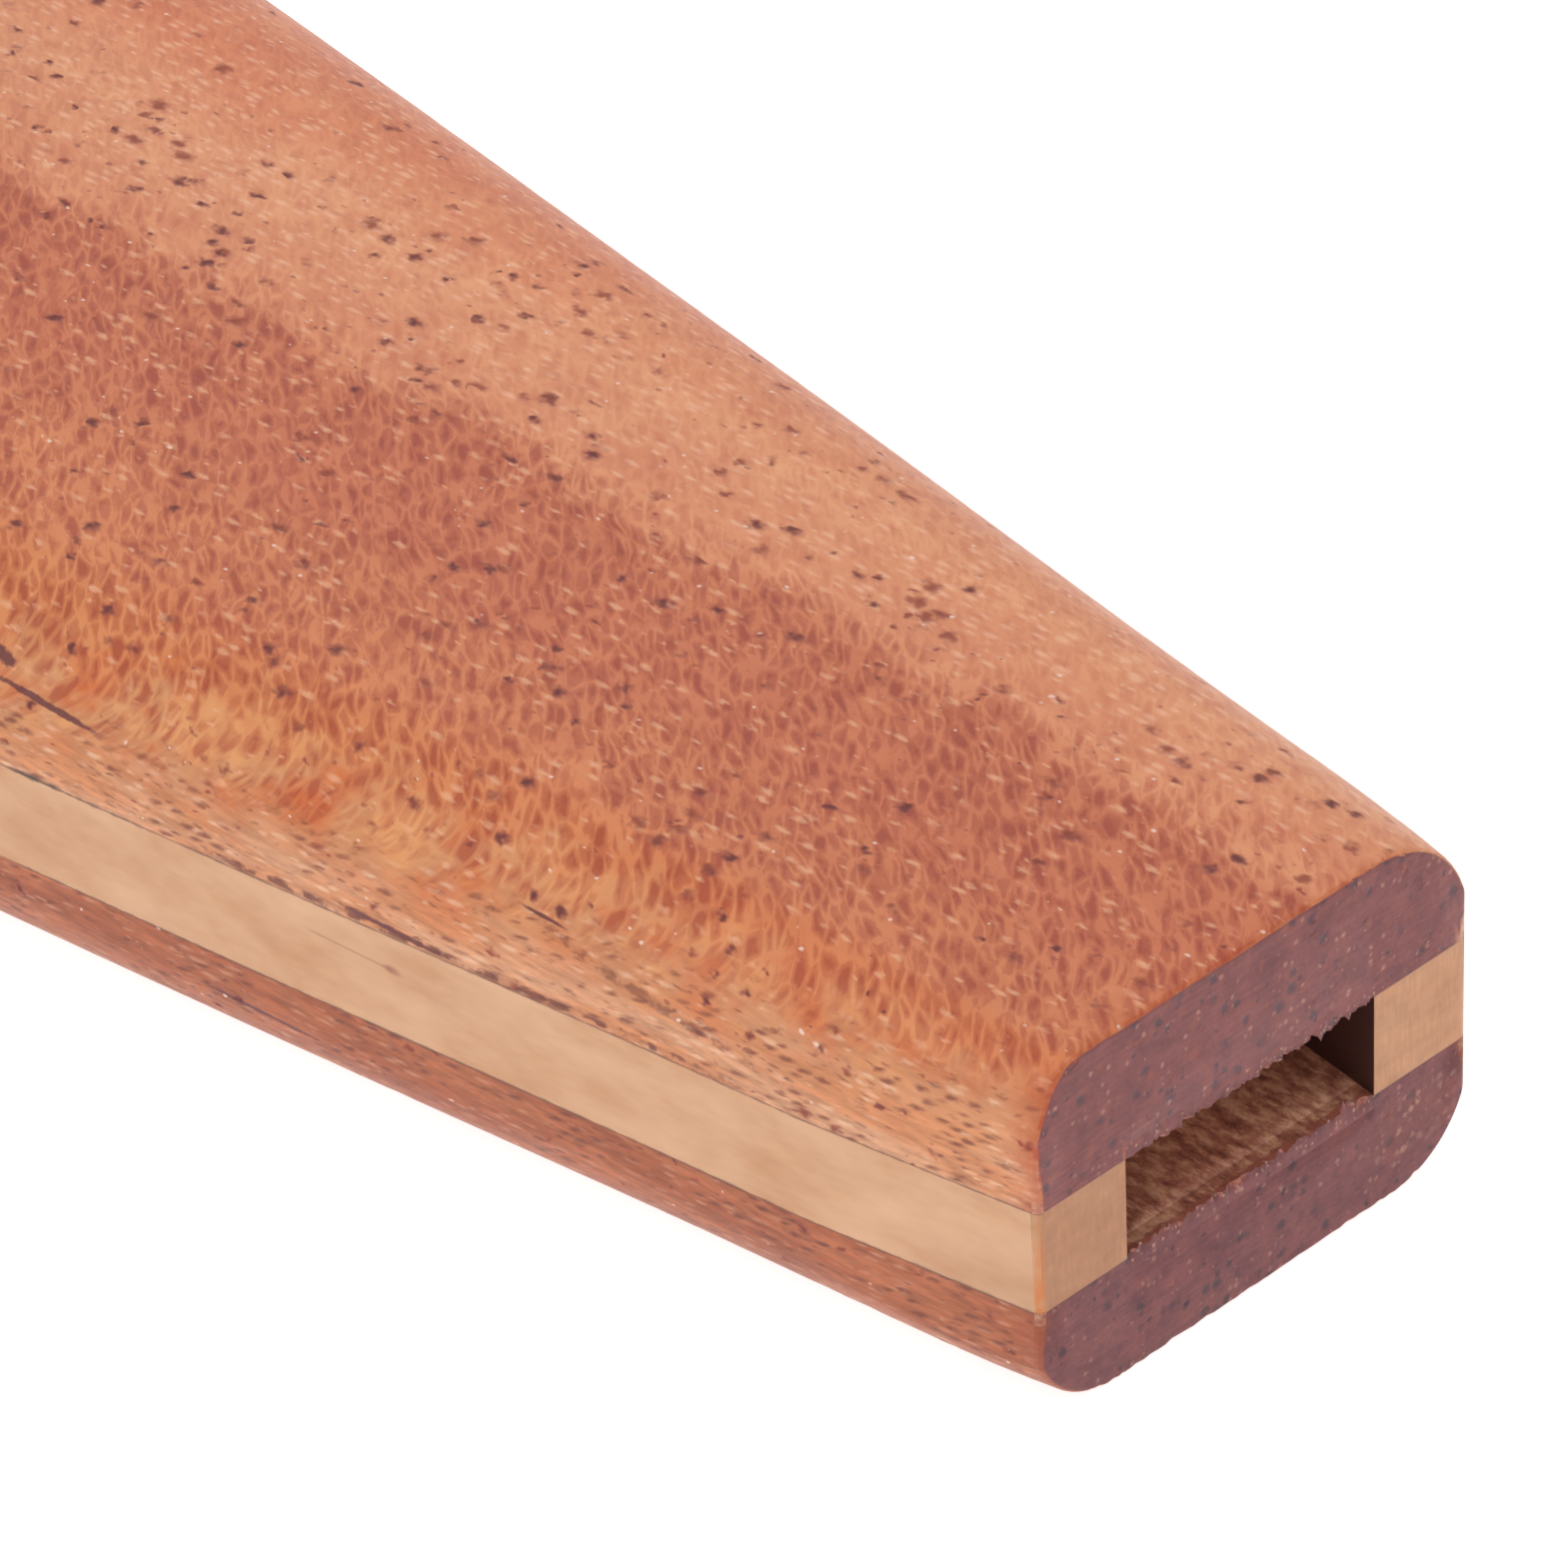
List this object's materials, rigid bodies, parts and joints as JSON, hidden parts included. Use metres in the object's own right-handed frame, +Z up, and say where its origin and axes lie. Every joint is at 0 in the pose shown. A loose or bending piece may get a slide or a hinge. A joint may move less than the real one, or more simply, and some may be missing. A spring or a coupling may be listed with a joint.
{
  "type": "kazoo",
  "caption": "Flat laminated wooden kazoo: square-cut mouth slot, sound channel through the middle layer, and a screw-down turret that clamps the humming membrane.",
  "frame": {"origin": "middle of the instrument's box, on the flat face that it rests on", "axes": "+Y along the length from the mouth end to the tail, +Z up out of the turret, +X across the width"},
  "size_m": [0.0482, 0.118, 0.0231],
  "materials": {
    "red_hardwood": "sanded and oiled",
    "maple": "sanded and oiled",
    "turret_brass": "satin",
    "cork": "raw",
    "film": "waxed, translucent"
  },
  "bodies": {
    "body": {"top_board": "red_hardwood", "bottom_board": "red_hardwood", "left_core_strip": "maple", "right_core_strip": "maple", "collar": "turret_brass", "collar_screws": "turret_brass", "gasket": "cork", "membrane": "film"},
    "lift": {"slip_ring": "turret_brass"},
    "cap": {"cap": "turret_brass"}
  },
  "joints": [
    {"name": "cap_lift", "type": "slide", "parent": "body", "child": "lift", "axis": [0, 0, 1], "range_m": [0, 0.006]},
    {"name": "cap_turn", "type": "hinge", "parent": "lift", "child": "cap", "pos_m": [0, 0.03612, 0.0199], "axis": [0, 0, 1], "range_deg": [0, 1440]}
  ],
  "couplings": [
    {"joint": "cap_lift", "follows": "cap_turn", "m_per_rad": 0.00023873}
  ]
}
